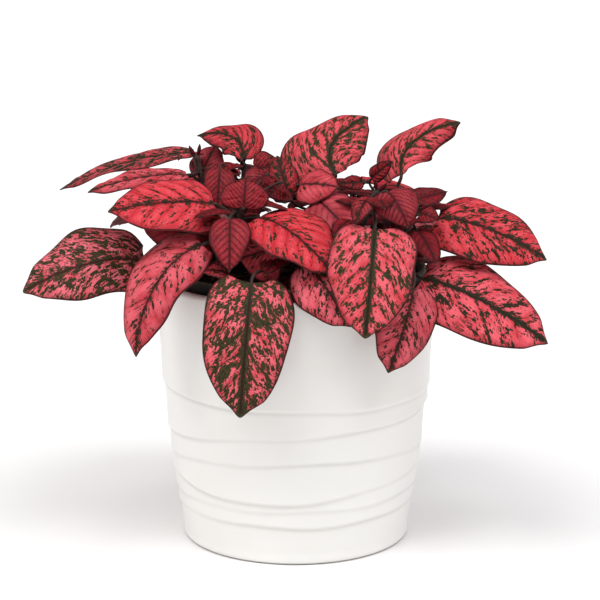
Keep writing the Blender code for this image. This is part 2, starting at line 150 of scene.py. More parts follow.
# Leaves of each shoot: height of the joint as a share of the shoot, blade base and
# tip, width, where the upper face looks, arch of the midrib out of the blade as a
# share of its length, rise of the halves beside it, and age.
LEAVES = {
    "front": {
        "front_low": (0.7, (6, -58, 147), (25, -80, 122), 30, (0, -3, 1), 0.12, 0.2, GROWN),
        "front_large": (0.6, (-20, -68, 140), (-25, -88, 82), 41, (0, -3, 1), 0.14, 0.25, OLD),
        "rim_curly": (0.5, (-30, -54, 140), (-43, -60, 143), 10, (0, -1, 2), 0.2, 0.4, YOUNG),
        "rim_shade": (0.86, (-10, -50, 152), (-26, -50, 147), 16, (0, -2, 1), 0.1, 0.2, GROWN),
    },
    "front_left": {
        "left_low": (0.62, (-43, -50, 154), (-73, -68, 105), 37, (-2, -3, 1), 0.2, 0.2, GROWN),
        "left_mid": (0.84, (-38, -34, 170), (-86, -50, 169), 36, (0, -3, 4), 0.1, 0.25, GROWN),
        "left_shade": (0.5, (-39, -20, 150), (-74, -14, 157), 28, (0, -2, 3), 0.1, 0.2, GROWN),
        "young_lower": (0.96, (-30, -51, 166), (-30, -65, 144), 19, (0, -2, 1), 0.12, 0.4, YOUNG),
        "young_upper": (0.98, (-24, -44, 170), (-23, -37, 183), 19, (0, -3, 1), 0.1, 0.4, YOUNG),
        "centre": (0.86, (-17, -42, 165), (17, -70, 144), 32, (1, -2, 2), 0.16, 0.2, GROWN),
        "bud_front": (0.9, (-14, -15, 181), (-24, -21, 174), 11, (0, -2, 1), 0.1, 0.3, YOUNG),
        "bud_low": (0.93, (-7, -24, 178), (-13, -28, 172), 9, (0, -2, 1), 0.1, 0.3, YOUNG),
    },
    "front_right": {
        "centre_plain": (0.7, (10, -26, 171), (26, -46, 158), 24, (0, -2, 1), 0.1, 0.1, GROWN),
        "front_centre": (0.82, (36, -60, 163), (31, -86, 118), 40, (0, -3, 1), 0.14, 0.25, OLD),
        "cup_left": (0.96, (34, -51, 176), (27, -62, 165), 12, (-1, -2, 2), 0.2, 0.3, YOUNG),
        "cup_right": (0.97, (42, -47, 178), (51, -58, 163), 20, (1, -3, 2), 0.2, 0.3, YOUNG),
    },
    "left": {
        "left_far": (0.42, (-72, -14, 139), (-129, -30, 127), 45, (0, -3, 3), 0.22, 0.25, OLD),
        "left_high": (0.97, (-51, 6, 188), (-115, 8, 170), 28, (0, -1, 7), 0.08, 0.4, GROWN),
        "left_high_under": (
            0.86, (-52, -10, 180), (-98, -24, 174), 26, (0, -1, 4), 0.08, 0.3, GROWN
        ),
        "left_behind": (0.7, (-60, 14, 164), (-92, 20, 149), 26, (0, 1, 3), 0.12, 0.3, GROWN),
    },
    "right": {
        "front_right": (0.4, (54, -60, 136), (42, -74, 99), 30, (1, -3, 1), 0.12, 0.2, GROWN),
        "right_low": (0.55, (59, -40, 136), (117, -54, 108), 44, (1, -3, 3), 0.12, 0.25, GROWN),
        "right_high": (0.96, (67, -20, 161), (118, -32, 143), 39, (0, -3, 4), 0.15, 0.2, GROWN),
        "small_right_upper": (0.98, (56, -26, 171), (72, -16, 173), 10, (0, -2, 2), 0, 0.4, YOUNG),
        "small_right_lower": (0.9, (58, -28, 164), (67, -33, 162), 11, (0, -2, 2), 0.2, 0.4, YOUNG),
        "right_shade_upper": (0.8, (57, -32, 157), (65, -46, 144), 15, (1, -2, 1), 0.1, 0.3, GROWN),
        "right_shade_lower": (
            0.66, (54, -30, 152), (60, -40, 146), 13, (0, -2, 1), 0.1, 0.3, GROWN
        ),
    },
    "crown_left": {
        "crown_wing": (0.97, (-26, 1, 186), (-48, 12, 196), 24, (0, -2, 4), 0.05, 0.1, GROWN),
        "crown_dark": (0.9, (-20, -4, 182), (-6, -3, 183), 12, (0, -2, 1), 0.1, 0.3, YOUNG),
        "crown_side": (0.76, (-36, -14, 184), (-37, -24, 165), 11, (0, -2, 1), 0.1, 0.3, YOUNG),
        "crown_pink": (0.8, (-46, 14, 176), (-39, 20, 190), 20, (-1, -2, 2), 0.1, 0.3, GROWN),
    },
    "crown": {
        "crown_large": (0.97, (19, -2, 179), (36, 24, 201), 42, (0, -2, 8), 0.15, 0.12, OLD),
        "crown_plain": (0.75, (2, -20, 177), (20, -28, 177), 18, (0, -1, 1), 0.1, 0.1, GROWN),
        "bow_left": (0.9, (32, -14, 177), (20, -20, 177), 9, (0, -2, 1), 0.1, 0.3, YOUNG),
        "crown_speckled": (0.62, (-4, -19, 173), (-9, -9, 189), 15, (0, -2, 1), 0.1, 0.2, GROWN),
        "back_inner": (0.75, (12, 20, 166), (-6, 52, 156), 34, (0, 0, 1), 0.12, 0.3, GROWN),
    },
    "crown_right": {
        "crown_right": (0.97, (51, 4, 178), (80, 14, 202), 36, (0, -2, 7), 0, 0, OLD),
        "bow_right": (0.9, (36, -9, 178), (46, -12, 187), 10, (0, -2, 1), 0.1, 0.3, YOUNG),
    },
    "back_left": {
        "back_far_left": (0.6, (-50, 42, 158), (-92, 66, 142), 36, (0, 0, 1), 0.14, 0.25, OLD),
        "back_left": (0.5, (-40, 66, 150), (-58, 108, 112), 42, (0, 2, 2), 0.16, 0.25, OLD),
        "back_left_high": (0.95, (-38, 50, 170), (-64, 88, 156), 34, (-1, 1, 4), 0.14, 0.3, GROWN),
        "back_left_young": (0.97, (-26, 46, 170), (-8, 40, 172), 18, (0, 1, 4), 0.12, 0.4, YOUNG),
    },
    "back_right": {
        "back_centre_low": (0.45, (4, 68, 145), (0, 100, 96), 44, (0, 3, 1), 0.14, 0.25, OLD),
        "back_centre_high": (0.9, (20, 56, 166), (2, 98, 146), 36, (0, 1, 2), 0.14, 0.3, GROWN),
        "back_right": (0.6, (44, 64, 148), (66, 104, 112), 42, (1, 2, 2), 0.14, 0.25, OLD),
        "back_far_right": (0.7, (56, 38, 148), (100, 46, 131), 36, (0, 0, 1), 0.12, 0.25, OLD),
        "back_right_high": (0.96, (36, 52, 167), (62, 84, 152), 34, (1, 1, 4), 0.12, 0.3, GROWN),
    },
}

# Sweep of the midrib to the right as a share of its length, where it has one.
LEAF_SWEEPS = {"left_low": 0.1, "crown_wing": 0.5, "crown_large": -0.3, "crown_right": -0.45}

LEAF_SLOTS = {OLD: "leaf_spotted", GROWN: "leaf_pink", YOUNG: "leaf_crimson"}

# How each leaf looks: how speckled it is, how green its veins are, how deep its red is,
# which is the real crimson of young leaves and also painted shade on leaves that lie in
# shade, and how pink it is. Its age adds the number of side veins, the height of the
# puckers between them and the wave of its margin. The curl of its tip is a share of
# its length.
Looks = namedtuple("Looks", "speckle green depth pink veins pucker wave curl")
AGE_LOOKS = {
    OLD: (7.0, 0.50, 1.0),
    GROWN: (6.5, 0.45, 0.8),
    YOUNG: (8.0, 1.00, 0.3),
}
LEAF_LOOKS = {
    "front_large": (0.43, 0.7, 0.0, 0.7),
    "front_low": (0.18, 0.4, 0.1, 0.75),
    "rim_curly": (0.15, 0.2, 0.25, 0.2),
    "rim_shade": (0.05, 0.1, 0.35, 0.4),
    "left_low": (0.1, 0.45, 0.16, 0.65),
    "left_mid": (0.09, 0.5, 0.08, 0.1),
    "left_shade": (0.05, 0.2, 0.8, 0.3),
    "young_lower": (0.01, 0.05, 0.72, 0.3),
    "young_upper": (0.01, 0.05, 0.72, 0.2),
    "centre": (0.09, 0.35, 0.12, 0.05),
    "bud_front": (0.03, 0.1, 0.65, 0.2),
    "bud_low": (0.03, 0.1, 0.92, 0.1),
    "centre_plain": (0.01, 0.05, 0.52, 0.6),
    "front_centre": (0.2, 0.9, 0.0, 0.55),
    "cup_left": (0.02, 0.35, 0.6, 0.3),
    "cup_right": (0.01, 0.02, 0.74, 0.5),
    "left_far": (0.38, 0.4, 0.0, 1.0),
    "left_high": (0.36, 0.45, 0.3, 0.5),
    "left_high_under": (0.12, 0.4, 0.2, 0.6),
    "left_behind": (0.1, 0.2, 0.75, 0.2),
    "front_right": (0.09, 0.45, 0.24, 0.75),
    "right_low": (0.18, 0.85, 0.0, 0.5),
    "right_high": (0.22, 0.5, 0.1, 0.15),
    "small_right_upper": (0.03, 0.1, 0.88, 0.1),
    "small_right_lower": (0.03, 0.1, 0.75, 0.1),
    "right_shade_upper": (0.02, 0.05, 0.9, 0.0),
    "right_shade_lower": (0.02, 0.05, 0.95, 0.0),
    "crown_wing": (0.12, 0.75, 0.3, 0.15),
    "crown_dark": (0.1, 0.25, 0.7, 0.1),
    "crown_side": (0.02, 0.05, 0.7, 0.2),
    "crown_pink": (0.06, 0.1, 0.55, 0.5),
    "crown_large": (0.22, 0.8, 0.1, 0.35),
    "crown_plain": (0.01, 0.1, 0.26, 0.45),
    "bow_left": (0.02, 0.3, 0.6, 0.05),
    "crown_speckled": (0.35, 0.35, 0.5, 0.1),
    "back_inner": (0.2, 0.35, 0.45, 0.2),
    "crown_right": (0.12, 0.9, 0.05, 0.35),
    "bow_right": (0.04, 0.25, 0.5, 0.05),
    "back_far_left": (0.32, 0.45, 0.06, 0.8),
    "back_left": (0.34, 0.6, 0.04, 0.6),
    "back_left_high": (0.16, 0.4, 0.12, 0.2),
    "back_left_young": (0.02, 0.05, 0.62, 0.3),
    "back_centre_low": (0.4, 0.55, 0.02, 0.7),
    "back_centre_high": (0.16, 0.45, 0.1, 0.35),
    "back_right": (0.22, 0.8, 0.05, 0.5),
    "back_far_right": (0.34, 0.5, 0.05, 0.8),
    "back_right_high": (0.12, 0.35, 0.18, 0.1),
}

LEAF_CURLS = {"crown_large": 0.08}

# Finish of a blade at each age: roughness, gloss, how dark its side veins are, how
# dark the painted shade on the ground beside them is, how unevenly the speckles
# gather, how much they are squeezed across the blade, how many go to a millimetre,
# and their two greens.
Finish = namedtuple(
    "Finish", "roughness gloss ribs vein_shade patchy squeeze fine pale_green dark_green"
)
OLD_GREENS = (0.060, 0.048, 0.018), (0.018, 0.017, 0.008)
GROWN_GREENS = (0.036, 0.030, 0.013), (0.012, 0.011, 0.006)
YOUNG_GREENS = (0.026, 0.020, 0.010), (0.010, 0.009, 0.005)
LEAF_FINISHES = {
    OLD: Finish(0.46, 0.10, 0.40, 0.18, 0.40, 1.10, 0.62, *OLD_GREENS),
    GROWN: Finish(0.46, 0.10, 0.40, 0.18, 0.65, 0.90, 0.70, *GROWN_GREENS),
    YOUNG: Finish(0.32, 0.08, 0.85, 0.60, 0.50, 0.80, 0.80, *YOUNG_GREENS),
}

# Blades with uneven halves: width of each half, then how far its lobe reaches back,
# as shares of the usual.
Trim = namedtuple("Trim", "left right left_lobe right_lobe", defaults=(1.0, 1.0))
EVEN_TRIM = Trim(1.0, 1.0)
LEAF_TRIMS = {
    "left_far": Trim(0.8, 1.0),
    "left_low": Trim(0.74, 1.0),
    "rim_shade": Trim(1.9, 1.0),
    "rim_curly": Trim(1.4, 1.4),
    "crown_large": Trim(1.25, 0.75, 1.8, -0.8),
    "crown_right": Trim(1.25, 0.6, 1.8, -2.8),
    "crown_wing": Trim(0.8, 1.45, -2.5, 2.0),
    "crown_plain": Trim(1.2, 1.2),
    "crown_dark": Trim(1.4, 1.4),
    "crown_side": Trim(1.35, 1.35),
    "centre": Trim(1.3, 1.0),
    "centre_plain": Trim(1.0, 1.4),
    "bud_low": Trim(2.0, 2.0),
    "bud_front": Trim(1.4, 1.4),
    "young_upper": Trim(1.2, 1.2),
    "cup_right": Trim(1.2, 1.2),
    "bow_left": Trim(0.85, 0.85),
    "bow_right": Trim(0.85, 0.85),
    "small_right_upper": Trim(1.2, 1.2),
}

# Small leaves that spiral up each shoot between its own leaves, deep crimson as
# painted shade in the middle of the plant.
INNER_LEAVES = 11
INNER_LOOKS = Looks(0.06, 0.12, 0.86, 0.10, 7.0, 0.6, 0.3, 0.0)
INNER_LOWEST = 0.25
INNER_SPAN = 0.70
INNER_TURN = 2.4
INNER_STALK = (5.5, 2.5)
INNER_LENGTHS = (16.0, 21.0)
INNER_WIDTHS = (13.0, 16.0)

# White air, stronger at the sides than at the front and back, and soft suns: their
# strength, width, tilt from straight down, turn and colour.
AIR_COLOUR = (1.0, 0.995, 0.99)
AIR_FRONT = 0.25
AIR_SIDES = 1.12
SUNS = (
    ("lamp_left", 1.45, 36.0, 30.0, -44.0, (1.0, 0.99, 0.97)),
    ("lamp_right", 1.33, 36.0, 30.0, 42.0, (0.98, 0.99, 1.0)),
)

# The camera's place is in metres, and it looks down a little.
CAMERA_PLACE = (0.002, -0.940, 0.325)
CAMERA_TILT = 12.5
CAMERA_LENS = 118.2
FLOOR = 9000.0

# --- Small helpers ---


def unit(vectors):
    return vectors / np.maximum(np.linalg.norm(vectors, axis=-1, keepdims=True), 1e-9)


def smooth_step(low, high, values):
    share = np.clip((values - low) / (high - low), 0.0, 1.0)
    return share * share * (3.0 - 2.0 * share)


def stacked(*parts):
    return np.stack(np.broadcast_arrays(*parts), axis=-1)


def ripple(points, wavelength, seed, waves=8):
    """Smooth noise of about -1 to 1 at points in millimetres, the same every run."""
    rng = np.random.default_rng(seed)
    directions = unit(rng.normal(size=(waves, 3)))
    lengths = wavelength * rng.uniform(0.7, 1.6, waves)
    phases = rng.uniform(0.0, math.tau, waves)
    angles = points @ (directions * (math.tau / lengths)[:, None]).T + phases
    return np.sin(angles).mean(axis=-1) * 1.8


def bezier(points, shares):
    """Points and unit directions on a cubic curve, at shares of its length."""
    first, second, third, last = (np.asarray(point, float) for point in points)
    share = np.atleast_1d(np.asarray(shares, float))[:, None]
    rest = 1.0 - share
    place = (
        first * rest**3
        + second * (3 * rest * rest * share)
        + third * (3 * rest * share * share)
        + last * share**3
    )
    along = (
        (second - first) * (rest * rest)
        + (third - second) * (2 * rest * share)
        + (last - third) * (share * share)
    )
    return place, unit(along)


def new_object(name, data):
    made = bpy.data.objects.new(name, data)
    bpy.context.scene.collection.objects.link(made)
    return made


class Build:
    """Collects the points, faces, material slots and pattern values of one piece."""

    def __init__(self):
        self.points = []
        self.faces = []
        self.slots = []
        self.values = defaultdict(list)
        self.count = 0

    def add(self, points, faces, slot=0, **values):
        points = np.asarray(points, float).reshape(-1, 3)
        faces = np.asarray(faces, int)
        self.points.append(points)
        self.faces += (faces + self.count).tolist()
        self.slots += [slot] * len(faces)
        for name in ("place", "pattern", "look", "edge"):
            given = np.reshape(values.get(name, (0.0, 0.0, 0.0)), (-1, 3))
            self.values[name].append(np.broadcast_to(given, points.shape))
        self.count += len(points)

    def finish(self, name, materials, sharp_angle=None):
        mesh = bpy.data.meshes.new(name)
        mesh.from_pydata(np.concatenate(self.points) * MILLIMETRE, [], self.faces)
        for label, parts in self.values.items():
            layer = mesh.attributes.new(label, "FLOAT_VECTOR", "POINT")
            layer.data.foreach_set("vector", np.concatenate(parts).astype(np.float32).ravel())
        for surface in materials:
            mesh.materials.append(surface)
        mesh.polygons.foreach_set("material_index", self.slots)
        mesh.shade_smooth()
        if sharp_angle:
            mesh.set_sharp_from_angle(angle=math.radians(sharp_angle))
        mesh.update()
        return new_object(name, mesh)


def grid_faces(rows, columns, closed=False):
    """Quads between rows of points; closed joins the last column to the first."""
    row, column = np.meshgrid(
        np.arange(rows - 1), np.arange(columns if closed else columns - 1), indexing="ij"
    )
    after = (column + 1) % columns
    corners = (
        row * columns + column,
        row * columns + after,
        (row + 1) * columns + after,
        (row + 1) * columns + column,
    )
    return np.stack(corners, axis=-1).reshape(-1, 4)


def close_ends(build, rings, sides, slot=0):
    """Closes the rings just added, which are followed by the middle of each end."""
    first = build.count - 2
    start = first - rings * sides
    last_ring = first - sides
    for step in range(sides):
        after = (step + 1) % sides
        build.faces.append([start + after, start + step, first])
        build.faces.append([last_ring + step, last_ring + after, first + 1])
    build.slots += [slot] * (2 * sides)


def add_tube(build, centres, radii, sides, slot=0, seed=0.0, **values):
    """A tube with round ends along a line of points."""
    along = unit(np.gradient(centres, axis=0))
    side = np.cross(along[0], (0.3, 0.9, 0.2))
    turns = np.arange(sides) * math.tau / sides
    rings = []
    for centre, forward, radius in zip(centres, along, radii):
        side = unit(side - forward * (side @ forward))
        other = np.cross(forward, side)
        spokes = np.cos(turns)[:, None] * side + np.sin(turns)[:, None] * other
        rings.append(centre + radius * spokes)
    count = len(rings)
    lengths = np.concatenate([[0.0], np.cumsum(np.linalg.norm(np.diff(centres, axis=0), axis=1))])
    place = stacked(radii[:, None] * turns, lengths[:, None], seed)
    points = np.concatenate([np.reshape(rings, (-1, 3)), centres[:1], centres[-1:]])
    place = np.concatenate([place.reshape(-1, 3), place[0, :1], place[-1, :1]])
    build.add(points, grid_faces(count, sides, closed=True), slot, place=place, **values)
    close_ends(build, count, sides, slot)


# --- Materials ---


class Nodes:
    """Short hand for building the node tree of a new material or world."""

    def __init__(self, name, library="materials"):
        self.owner = getattr(bpy.data, library).new(name)
        self.owner.use_nodes = True
        self.tree = self.owner.node_tree

    def link(self, source, socket):
        if isinstance(source, bpy.types.NodeSocket):
            self.tree.links.new(source, socket)
        elif socket.type == "RGBA":
            socket.default_value = (*source, 1.0)
        else:
            socket.default_value = source

    def node(self, kind, inputs=None, output=0, **settings):
        made = self.tree.nodes.new(kind)
        for name, value in settings.items():
            setattr(made, name, value)
        for key, value in (inputs or {}).items():
            self.link(value, made.inputs[key])
        return made.outputs[output]

    def math(self, operation, *values, clamp=False):
        inputs = dict(enumerate(values))
        return self.node("ShaderNodeMath", inputs, operation=operation, use_clamp=clamp)

    def times(self, first, second):
        return self.math("MULTIPLY", first, second)

    def mix(self, share, first, second):
        inputs = {0: share, 6: first, 7: second}
        return self.node("ShaderNodeMix", inputs, output=2, data_type="RGBA")

    def ramp(self, value, low, high, to_low=0.0, to_high=1.0):
        inputs = {0: value, 1: low, 2: high, 3: to_low, 4: to_high}
        return self.node("ShaderNodeMapRange", inputs, interpolation_type="SMOOTHSTEP")

    def where(self, kind="Object"):
        return self.node("ShaderNodeTexCoord", output=kind)

    def attribute(self, name):
        return self.node("ShaderNodeAttribute", output="Vector", attribute_name=name)

    def split(self, vector):
        made = self.tree.nodes.new("ShaderNodeSeparateXYZ")
        self.tree.links.new(vector, made.inputs[0])
        return tuple(made.outputs)

    def noise(self, vector, scale, detail=2.0, roughness=0.5, output=0):
        inputs = {"Vector": vector, "Scale": scale, "Detail": detail, "Roughness": roughness}
        return self.node("ShaderNodeTexNoise", inputs, output=output)

    def cells(self, vector, scale, feature="F1", output="Distance"):
        inputs = {"Vector": vector, "Scale": scale}
        return self.node("ShaderNodeTexVoronoi", inputs, output=output, feature=feature)

    def bump(self, height, distance, strength):
        inputs = {"Height": height, "Distance": distance, "Strength": strength}
        return self.node("ShaderNodeBump", inputs)

    def surface(self, **values):
        shader = self.tree.nodes["Principled BSDF"]
        for name, value in values.items():
            self.link(value, shader.inputs[name.replace("_", " ")])
        return self.owner


# Colours of a blade: the ground of a coral leaf and of a crimson one, their deeper
# tones, the painted highlight on the puckers and the painted shade beside the veins,
# midrib and margin, then the lines on it and the paler lower face.
CORAL = (0.730, 0.034, 0.048)
ROSE = (0.820, 0.170, 0.215)
CORAL_SHADE = (0.520, 0.014, 0.026)
CORAL_HIGHLIGHT = (0.900, 0.190, 0.230)
CORAL_PAINTED_SHADE = (0.260, 0.008, 0.015)
CRIMSON = (0.190, 0.005, 0.011)
CRIMSON_SHADE = (0.090, 0.003, 0.006)
CRIMSON_HIGHLIGHT = (0.300, 0.030, 0.042)
CRIMSON_PAINTED_SHADE = (0.050, 0.003, 0.005)
VEIN_PURPLE = (0.055, 0.005, 0.009)
VEIN_GREEN = (0.013, 0.012, 0.007)
MARGIN_PURPLE = (0.034, 0.008, 0.008)
TIP_BROWN = (0.060, 0.055, 0.030)
LOWER_PINK = (0.270, 0.080, 0.090)
LOWER_VEIN = (0.340, 0.150, 0.140)
LOWER_CRIMSON = (0.120, 0.022, 0.030)
SPOT_WANDER = 2.4


def leaf_blade_material(name, finish):
    """Coral blade with dark green speckles strung along the midrib and side veins.

    place holds millimetres across and along the blade and a number of its own,
    pattern the shares across and along it and the count of side veins passed, look
    how speckled, how green at the veins and how deep its red is, that depth being
    partly painted shade, and edge the millimetres to the margin, how pink it is and
    the space between side veins. A look under zero in the first value marks the
    paler lower face.
    """
    nodes = Nodes(name)
    place = nodes.attribute("place")
    across, _, seed = nodes.split(place)
    side, share, veins = nodes.split(nodes.attribute("pattern"))
    speckle, green_veins, depth = nodes.split(nodes.attribute("look"))
    from_margin, pink, spacing = nodes.split(nodes.attribute("edge"))
    under = nodes.math("LESS_THAN", speckle, 0.0)
    speckle = nodes.math("ABSOLUTE", speckle)

    from_rib = nodes.math("ABSOLUTE", across)
    vein_share = nodes.math("PINGPONG", veins, 0.5)
    from_vein = nodes.times(vein_share, spacing)
    from_side = nodes.math("ABSOLUTE", side)

    # Coordinates drawn out along the side veins, wandering so that spots are ragged.
    past_veins = nodes.times(veins, spacing)
    squeezed = nodes.times(across, finish.squeeze)
    drawn = nodes.node("ShaderNodeCombineXYZ", {0: past_veins, 1: squeezed, 2: seed})
    wander = nodes.noise(place, 0.8, 3.0, 0.6, output="Color")
    centre = (0.5, 0.5, 0.5)
    pushed = nodes.node("ShaderNodeVectorMath", {0: wander, 1: centre}, operation="SUBTRACT")
    pushed = nodes.node("ShaderNodeVectorMath", {0: pushed, 3: SPOT_WANDER}, operation="SCALE")
    loose = nodes.node("ShaderNodeVectorMath", {0: drawn, 1: pushed}, operation="ADD")

    # How likely a spot is at each point.
    outward = nodes.ramp(from_side, 0.15, 0.95, 1.0, 0.30)
    near_rib = nodes.ramp(from_rib, 0.4, 2.6, 1.0, 0.0)
    near_vein = nodes.times(nodes.ramp(from_vein, 0.15, 1.5, 1.0, 0.0), outward)
    cloud = nodes.noise(place, 0.16, 2.0, 0.5)
    patches = nodes.ramp(cloud, 0.34, 0.66, 1.0 - finish.patchy, 1.0 + finish.patchy)
    chance = nodes.times(speckle, patches)
    rib_chance = nodes.times(near_rib, nodes.times(green_veins, 0.85))
    vein_chance = nodes.times(near_vein, nodes.times(green_veins, 0.42))
    chance = nodes.math("ADD", chance, nodes.math("MAXIMUM", rib_chance, vein_chance))
    spots = []
    for scale, weight in ((finish.fine, 1.1), (1.9 * finish.fine, 0.6)):
        pick = nodes.split(nodes.cells(loose, scale, output="Color"))[0]
        allowed = nodes.times(chance, weight)
        spots.append(nodes.ramp(nodes.math("SUBTRACT", allowed, pick), -0.05, 0.05))
    green = nodes.math("MAXIMUM", *spots)

    # The ground, with a painted highlight on the puckers between the veins and painted
    # shade beside them, along the midrib and at the margin.
    tone = nodes.noise(place, 0.13, 3.0, 0.55)
    grain = nodes.noise(loose, 1.3, 3.0, 0.65)
    ground = nodes.mix(pink, CORAL, ROSE)
    ground = nodes.mix(nodes.ramp(tone, 0.38, 0.70, 0.0, 0.65), ground, CORAL_SHADE)
    deep = nodes.mix(nodes.ramp(tone, 0.35, 0.68), CRIMSON, CRIMSON_SHADE)
    # Deepen the red: the crimson of young leaves, and painted shade on leaves lying in shade.
    ground = nodes.mix(depth, ground, deep)
    # Painted highlight on the puckers between the side veins.
    pucker_highlight = nodes.ramp(vein_share, 0.10, 0.42)
    pucker_highlight = nodes.times(pucker_highlight, nodes.ramp(grain, 0.40, 0.66))
    pucker_highlight = nodes.times(pucker_highlight, 0.45)
    ground = nodes.mix(pucker_highlight, ground, nodes.mix(depth, CORAL_HIGHLIGHT, CRIMSON_HIGHLIGHT))
    # Painted shade towards the margin, beside the side veins and along the midrib.
    shade = nodes.ramp(from_margin, 0.5, 4.0, 0.50, 0.0)
    vein_hollow_shade = nodes.ramp(vein_share, 0.0, 0.22, finish.vein_shade, 0.0)
    shade = nodes.math("MAXIMUM", shade, vein_hollow_shade)
    shade = nodes.math("MAXIMUM", shade, nodes.ramp(from_rib, 0.5, 3.5, 0.45, 0.0))
    ground = nodes.mix(shade, ground, nodes.mix(depth, CORAL_PAINTED_SHADE, CRIMSON_PAINTED_SHADE))

    # Speckles, then the lines of the veins, midrib and margin, and the brown tip.
    leafy = nodes.mix(nodes.ramp(grain, 0.35, 0.65), finish.dark_green, finish.pale_green)
    colour = nodes.mix(green, ground, leafy)
    vein_line = nodes.times(nodes.ramp(from_vein, 0.08, 0.42, 1.0, 0.0), outward)
    rib_line = nodes.ramp(from_rib, 0.28, 0.85, 1.0, 0.0)
    line = nodes.math("MAXIMUM", nodes.times(vein_line, finish.ribs), rib_line)
    line_colour = nodes.mix(green_veins, VEIN_PURPLE, VEIN_GREEN)
    colour = nodes.mix(nodes.times(line, 0.92), colour, line_colour)
    margin = nodes.ramp(from_margin, 0.40, 1.10, 1.0, 0.0)
    colour = nodes.mix(nodes.times(margin, 0.90), colour, MARGIN_PURPLE)
    tip = nodes.ramp(share, 0.95, 0.995)
    colour = nodes.mix(nodes.times(tip, 0.70), colour, TIP_BROWN)

    # The lower face is paler and duller, with the upper pattern only faintly through it.
    pale = nodes.mix(0.60, colour, LOWER_PINK)
    pale = nodes.mix(nodes.times(line, 0.5), pale, LOWER_VEIN)
    pale = nodes.mix(nodes.times(depth, 0.7), pale, LOWER_CRIMSON)
    colour = nodes.mix(under, colour, pale)

    areoles = nodes.cells(place, 1.35, feature="DISTANCE_TO_EDGE")
    grit = nodes.times(grain, 0.7)
    relief = nodes.math("ADD", nodes.ramp(areoles, 0.0, 0.18), grit)
    rough = nodes.ramp(grain, 0.3, 0.7, finish.roughness - 0.06, finish.roughness + 0.08)
    return nodes.surface(
        Base_Color=colour,
        Roughness=rough,
        Normal=nodes.bump(relief, 0.00012, 0.55),
        Specular_IOR_Level=finish.gloss,
    )


def stem_material():
    """Dark purplish skin with lengthwise grey-green streaks."""
    nodes = Nodes("stem_skin")
    across, along, seed = nodes.split(nodes.attribute("place"))
    drawn = nodes.node("ShaderNodeCombineXYZ", {0: across, 1: nodes.times(along, 0.16), 2: seed})
    streak = nodes.noise(drawn, 1.5, 3.0, 0.6)
    mottle = nodes.noise(nodes.attribute("place"), 0.5, 2.0, 0.5)
    colour = nodes.mix(nodes.ramp(streak, 0.36, 0.64), (0.026, 0.012, 0.015), (0.060, 0.046, 0.034))
    colour = nodes.mix(nodes.ramp(mottle, 0.45, 0.70, 0.0, 0.6), colour, (0.080, 0.016, 0.022))
    return nodes.surface(
        Base_Color=colour,
        Roughness=nodes.ramp(streak, 0.3, 0.7, 0.42, 0.60),
        Normal=nodes.bump(streak, 0.00015, 0.5),
        Specular_IOR_Level=0.15,
    )


def glaze_material():
    """Off-white glaze with painted highlights on band crests and painted shade in their creases."""
    nodes = Nodes("white_glaze")
    where = nodes.where()
    height = nodes.split(where)[2]
    swell, crease, _ = nodes.split(nodes.attribute("place"))
    cloud = nodes.noise(where, 22.0, 3.0, 0.5)
    colour = nodes.mix(cloud, (0.872, 0.862, 0.834), (0.812, 0.802, 0.774))
    # Painted highlight on the crest above each band's edge.
    colour = nodes.mix(nodes.ramp(swell, -0.8, 2.4, 0.0, 0.5), colour, (0.875, 0.862, 0.832))
    # Painted shade in the crease under each band's edge.
    colour = nodes.mix(nodes.times(crease, 0.75), colour, (0.700, 0.690, 0.662))
    # Unglazed foot, darkened to grey as painted contact shadow where the pot meets the floor.
    bare_foot_and_shadow = nodes.ramp(height, 0.0003, 0.0012, 1.0, 0.0)
    colour = nodes.mix(bare_foot_and_shadow, colour, (0.30, 0.285, 0.26))
    peel = nodes.noise(where, 300.0, 2.0, 0.5)
    rough = nodes.math("MULTIPLY_ADD", cloud, 0.16, 0.28)
    rough = nodes.math("ADD", rough, nodes.times(bare_foot_and_shadow, 0.4), clamp=True)
    relief = nodes.bump(peel, 0.00003, 0.25)
    return nodes.surface(Base_Color=colour, Roughness=rough, Normal=relief)


def plastic_material():
    """Black moulded plastic, olive brown in patches along the top edge of its lip."""
    nodes = Nodes("black_plastic")
    where = nodes.where()
    height = nodes.split(where)[2]
    scuff = nodes.noise(where, 180.0, 4.0, 0.65)
    edge = nodes.ramp(height, 0.1335, 0.1349)
    olive_top_edge = nodes.times(edge, nodes.ramp(scuff, 0.35, 0.62, 0.35, 1.0))
    colour = nodes.mix(nodes.ramp(scuff, 0.4, 0.7), (0.012, 0.012, 0.011), (0.028, 0.026, 0.022))
    colour = nodes.mix(olive_top_edge, colour, (0.110, 0.085, 0.050))
    return nodes.surface(
        Base_Color=colour,
        Roughness=nodes.ramp(scuff, 0.3, 0.7, 0.50, 0.68),
        Normal=nodes.bump(scuff, 0.00008, 0.4),
        Specular_IOR_Level=0.12,
    )


def soil_material():
    """Dark peat mix: brown and nearly black crumbs."""
    nodes = Nodes("potting_mix")
    where = nodes.where()
    pick = nodes.split(nodes.cells(where, 420.0, output="Color"))[0]
    dust = nodes.noise(where, 900.0, 4.0, 0.7)
    colour = nodes.mix(nodes.ramp(pick, 0.2, 0.9), (0.018, 0.011, 0.007), (0.085, 0.050, 0.028))
    colour = nodes.mix(nodes.ramp(dust, 0.5, 0.75, 0.0, 0.5), colour, (0.130, 0.085, 0.052))
    return nodes.surface(
        Base_Color=colour,
        Roughness=nodes.ramp(dust, 0.3, 0.7, 0.85, 1.0),
        Normal=nodes.bump(dust, 0.0005, 0.8),
        Specular_IOR_Level=0.2,
    )


